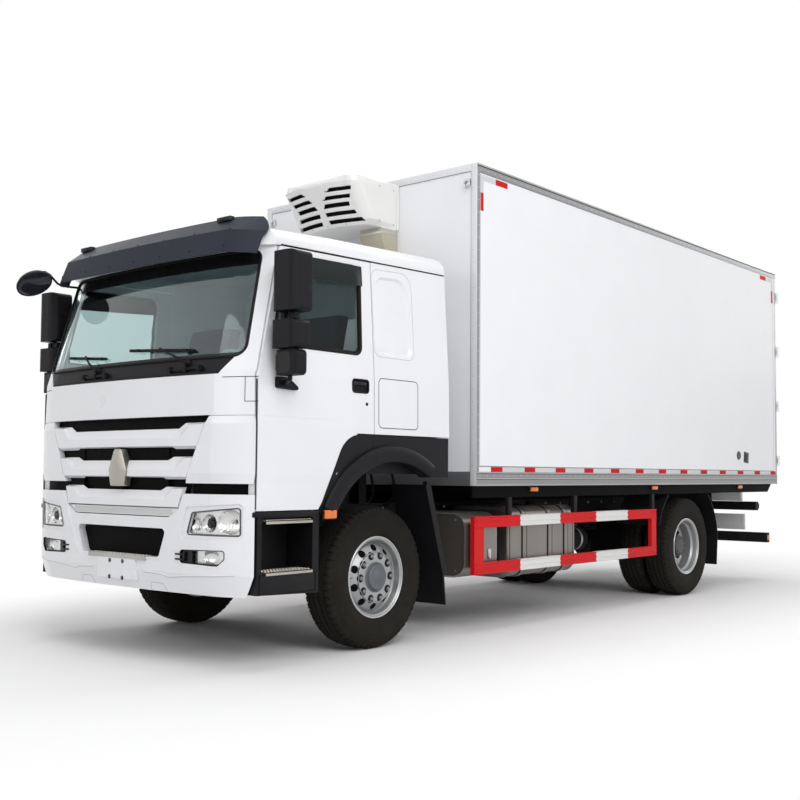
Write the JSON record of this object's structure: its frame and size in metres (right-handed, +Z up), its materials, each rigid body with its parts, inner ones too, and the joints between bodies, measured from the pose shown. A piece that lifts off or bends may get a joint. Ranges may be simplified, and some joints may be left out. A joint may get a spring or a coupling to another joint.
{
  "type": "refrigerated truck",
  "caption": "Two-axle cab-over truck with an insulated load box, front-wall cooling unit, opening cab and rear doors, steered front wheels and twin rear wheels.",
  "frame": {"origin": "on the ground, in the middle of the truck's length and width", "axes": "+X forwards, +Y to the truck's left, +Z up"},
  "size_m": [9.0722, 2.99, 3.848],
  "materials": {
    "cab_paint": "gloss",
    "visor_paint": "gloss",
    "black_plastic": "matte",
    "grey_plastic": "satin",
    "cabin_trim": "matte",
    "seat_cloth": "matte",
    "glazing": "gloss",
    "lamp_lens": "gloss",
    "red_lens": "gloss",
    "box_panel": "semi-gloss",
    "box_aluminium": "satin",
    "box_frame": "semi-gloss",
    "zinc_steel": "satin",
    "unit_housing": "gloss",
    "frame_steel": "semi-gloss",
    "axle_steel": "semi-gloss",
    "engine_iron": "rough",
    "tank_aluminium": "brushed",
    "tyre": "matte",
    "wheel_paint": "satin",
    "guard_paint": "semi-gloss"
  },
  "bodies": {
    "chassis": {"arch_cladding": "black_plastic", "box_bearers": "frame_steel", "box_edge_rails": "box_aluminium", "box_floor": "box_panel", "box_front_wall": "box_panel", "box_rear_frame": "box_frame", "box_roof": "box_panel", "box_side_walls": "box_panel", "box_subframe": "frame_steel", "bumper": "cab_paint", "cab_floor": "cabin_trim", "cab_front": "cab_paint", "cab_rear_wall": "cab_paint", "cab_roof": "cab_paint", "cab_sides": "cab_paint", "cab_steps": "grey_plastic", "chassis_frame": "frame_steel", "cowl_panel": "black_plastic", "dashboard": "cabin_trim", "engine_block": "engine_iron", "front_axle": "axle_steel", "front_lamps": "lamp_lens", "front_mirror": "black_plastic", "fuel_tank": "tank_aluminium", "grille": "cab_paint", "grille_mesh": "black_plastic", "leaf_springs": "frame_steel", "mudguards": "black_plastic", "rear_axle": "axle_steel", "rear_lamps": "red_lens", "rear_underrun": "frame_steel", "refrigeration_unit": "unit_housing", "seats": "seat_cloth", "side_cabinets": "grey_plastic", "side_guards": "guard_paint", "sun_visor": "visor_paint", "windscreen": "glazing"},
    "cab_door_body_left": {"cab_door_left": "cab_paint", "door_glass_left": "glazing", "mirror_left": "black_plastic"},
    "steered_hub_left": {"knuckle_left": "axle_steel"},
    "front_wheel_body_left": {"front_tyre_left": "tyre", "front_wheel_left": "wheel_paint"},
    "rear_wheel_body_left": {"rear_tyres_left": "tyre", "rear_wheel_left": "wheel_paint"},
    "rear_door_body_left": {"rear_door_left": "box_panel", "door_gear_left": "zinc_steel"},
    "cab_door_body_right": {"cab_door_right": "cab_paint", "door_glass_right": "glazing", "mirror_right": "black_plastic"},
    "steered_hub_right": {"knuckle_right": "axle_steel"},
    "front_wheel_body_right": {"front_tyre_right": "tyre", "front_wheel_right": "wheel_paint"},
    "rear_wheel_body_right": {"rear_tyres_right": "tyre", "rear_wheel_right": "wheel_paint"},
    "rear_door_body_right": {"rear_door_right": "box_panel", "door_gear_right": "zinc_steel"},
    "track_rod": {"tie_rod": "axle_steel"}
  },
  "joints": [
    {"name": "steer_left", "type": "hinge", "parent": "chassis", "child": "steered_hub_left", "pos_m": [2.94386, 0.87, 0.525], "axis": [0, 0, 1], "range_deg": [-38, 38]},
    {"name": "steer_right", "type": "hinge", "parent": "chassis", "child": "steered_hub_right", "pos_m": [2.94386, -0.87, 0.525], "axis": [0, 0, 1], "range_deg": [-38, 38]},
    {"name": "front_wheel_spin_left", "type": "hinge", "parent": "steered_hub_left", "child": "front_wheel_body_left", "pos_m": [2.94386, 1.01, 0.525], "axis": [0, 1, 0], "continuous": true},
    {"name": "front_wheel_spin_right", "type": "hinge", "parent": "steered_hub_right", "child": "front_wheel_body_right", "pos_m": [2.94386, -1.01, 0.525], "axis": [0, 1, 0], "continuous": true},
    {"name": "rear_wheel_spin_left", "type": "hinge", "parent": "chassis", "child": "rear_wheel_body_left", "pos_m": [-2.05614, 0.915, 0.525], "axis": [0, 1, 0], "continuous": true},
    {"name": "rear_wheel_spin_right", "type": "hinge", "parent": "chassis", "child": "rear_wheel_body_right", "pos_m": [-2.05614, -0.915, 0.525], "axis": [0, 1, 0], "continuous": true},
    {"name": "cab_door_swing_left", "type": "hinge", "parent": "chassis", "child": "cab_door_body_left", "pos_m": [4.22386, 1.236, 1.6], "axis": [0, 0, -1], "range_deg": [0, 70]},
    {"name": "cab_door_swing_right", "type": "hinge", "parent": "chassis", "child": "cab_door_body_right", "pos_m": [4.22386, -1.236, 1.6], "axis": [0, 0, 1], "range_deg": [0, 70]},
    {"name": "rear_door_swing_left", "type": "hinge", "parent": "chassis", "child": "rear_door_body_left", "pos_m": [-4.49914, 1.27, 2.5], "axis": [0, 0, -1], "range_deg": [0, 255]},
    {"name": "rear_door_swing_right", "type": "hinge", "parent": "chassis", "child": "rear_door_body_right", "pos_m": [-4.49914, -1.27, 2.5], "axis": [0, 0, 1], "range_deg": [0, 255]},
    {"name": "track_rod_pivot", "type": "hinge", "parent": "steered_hub_left", "child": "track_rod", "pos_m": [2.76386, 0.87, 0.42], "axis": [0, 0, 1], "range_deg": [-38, 38]}
  ],
  "couplings": [
    {"joint": "steer_right", "follows": "steer_left", "ratio": 1},
    {"joint": "track_rod_pivot", "follows": "steer_left", "ratio": -1}
  ]
}
